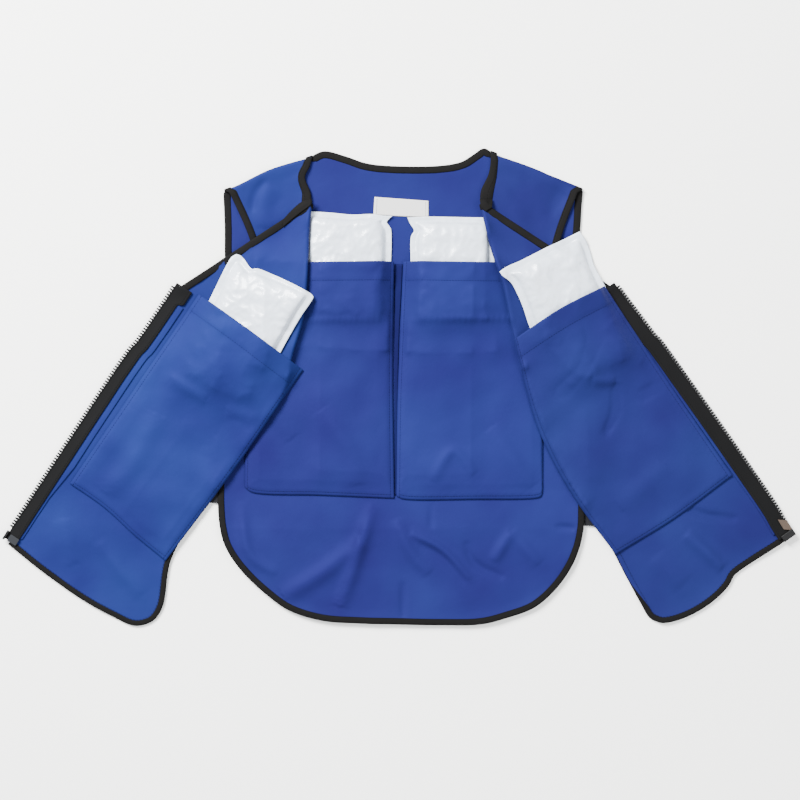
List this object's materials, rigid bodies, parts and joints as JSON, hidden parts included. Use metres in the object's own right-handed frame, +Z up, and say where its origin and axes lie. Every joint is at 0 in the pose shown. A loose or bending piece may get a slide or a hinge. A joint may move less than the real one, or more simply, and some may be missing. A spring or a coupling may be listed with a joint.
{
  "type": "cooling vest",
  "caption": "Open work vest lying lining side up, with front panels folded out, inner pockets holding cold packs, dark edge binding and an open separating zipper.",
  "frame": {"origin": "centre of the vest's outline as it lies, on the surface that it lies on", "axes": "+X across the opened vest, +Y towards the neck, +Z up out of the lining"},
  "size_m": [1.0278, 0.617, 0.0313],
  "materials": {
    "lining_cloth": "smooth satin-faced woven polyester, royal blue",
    "bias_binding": "matt ribbed bias tape, near black",
    "zipper_tape": "matt knitted zipper tape, near black",
    "zipper_resin": "moulded resin, black, low sheen",
    "grey_film": "clear grey reinforcing film",
    "slider_metal": "die-cast metal, brownish grey, worn",
    "pack_film": "white heat-sealed film, soft crumpled gloss",
    "label_cloth": "blank white woven label",
    "side_elastic": "ribbed black elastic webbing"
  },
  "bodies": {
    "root": {"back_panel": "lining_cloth", "front_panel_left": "lining_cloth", "front_panel_right": "lining_cloth", "back_pocket_left": "lining_cloth", "back_pocket_right": "lining_cloth", "front_pocket_left": "lining_cloth", "front_pocket_right": "lining_cloth", "neck_binding": "bias_binding", "collar_binding_left": "bias_binding", "collar_binding_right": "bias_binding", "lapel_binding_left": "bias_binding", "lapel_binding_right": "bias_binding", "back_armhole_binding_left": "bias_binding", "back_armhole_binding_right": "bias_binding", "front_armhole_binding_left": "bias_binding", "front_armhole_binding_right": "bias_binding", "tail_binding": "bias_binding", "hem_binding_left": "bias_binding", "hem_binding_right": "bias_binding", "zipper_tape_left": "zipper_tape", "zipper_tape_right": "zipper_tape", "zipper_chain_left": "zipper_resin", "zipper_chain_right": "zipper_resin", "zipper_pin": "zipper_resin", "zipper_box": "zipper_resin", "pin_film": "grey_film", "zipper_slider": "slider_metal", "slider_pull": "slider_metal", "cold_pack_back_left": "pack_film", "cold_pack_back_right": "pack_film", "cold_pack_front_left": "pack_film", "cold_pack_front_right": "pack_film", "label_patch": "label_cloth", "side_strap_left": "side_elastic", "side_strap_right": "side_elastic"}
  },
  "joints": []
}
